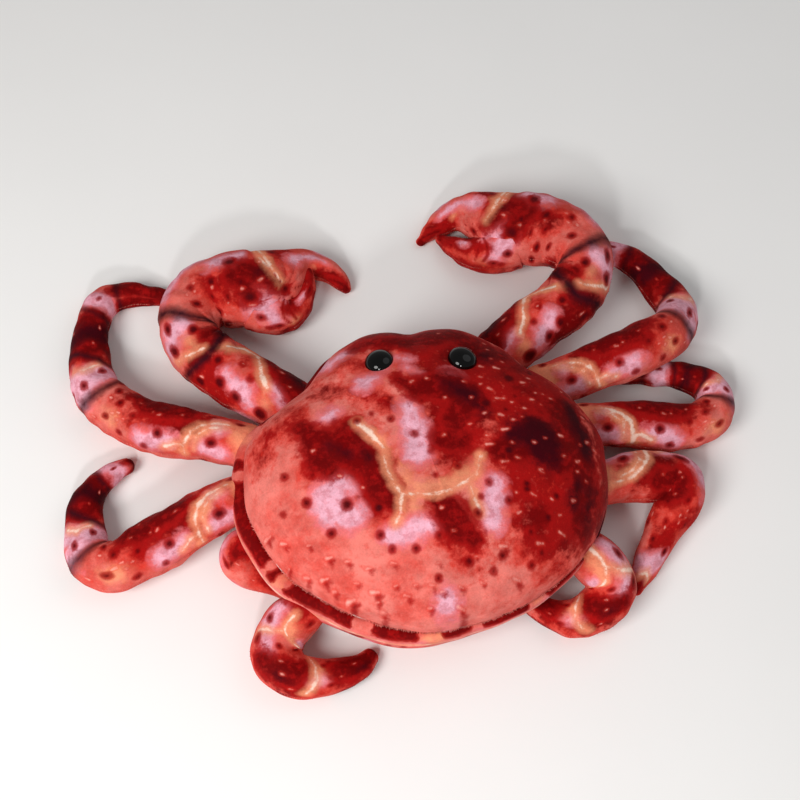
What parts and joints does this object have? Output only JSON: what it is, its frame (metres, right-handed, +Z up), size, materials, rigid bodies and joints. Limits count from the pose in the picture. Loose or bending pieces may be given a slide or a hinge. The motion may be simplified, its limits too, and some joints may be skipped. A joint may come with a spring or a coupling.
{
  "type": "plush crab",
  "caption": "Stuffed plush crab with a domed cushion body, curled pincer claws, folded soft legs and black plastic eyes.",
  "frame": {"origin": "middle of the flat of the belly, on the surface the toy lies on", "axes": "+Y towards the head and eyes, +Z up through the back, +X to the side of the higher claw"},
  "size_m": [0.5564, 0.444, 0.125],
  "materials": {
    "carapace_plush": "short pile plush printed in mottled red, coral and pink",
    "belly_plush": "short pile plush, coral with dark red marks along the seam",
    "limb_plush": "short pile plush printed in red and pink with black bands",
    "fibre_fill": "loose white polyester fibre",
    "eye_plastic": "polished black",
    "washer_plastic": "moulded, natural"
  },
  "bodies": {
    "root": {"carapace_panel": "carapace_plush", "belly_panel": "belly_plush", "body_filling": "fibre_fill", "eye_left": "eye_plastic", "eye_right": "eye_plastic", "eye_washer_left": "washer_plastic", "eye_washer_right": "washer_plastic", "claw_left": "limb_plush", "claw_right": "limb_plush", "leg_left_1": "limb_plush", "leg_left_2": "limb_plush", "leg_left_3": "limb_plush", "leg_left_4": "limb_plush", "leg_right_1": "limb_plush", "leg_right_2": "limb_plush", "leg_right_3": "limb_plush", "leg_right_4": "limb_plush"}
  },
  "joints": []
}
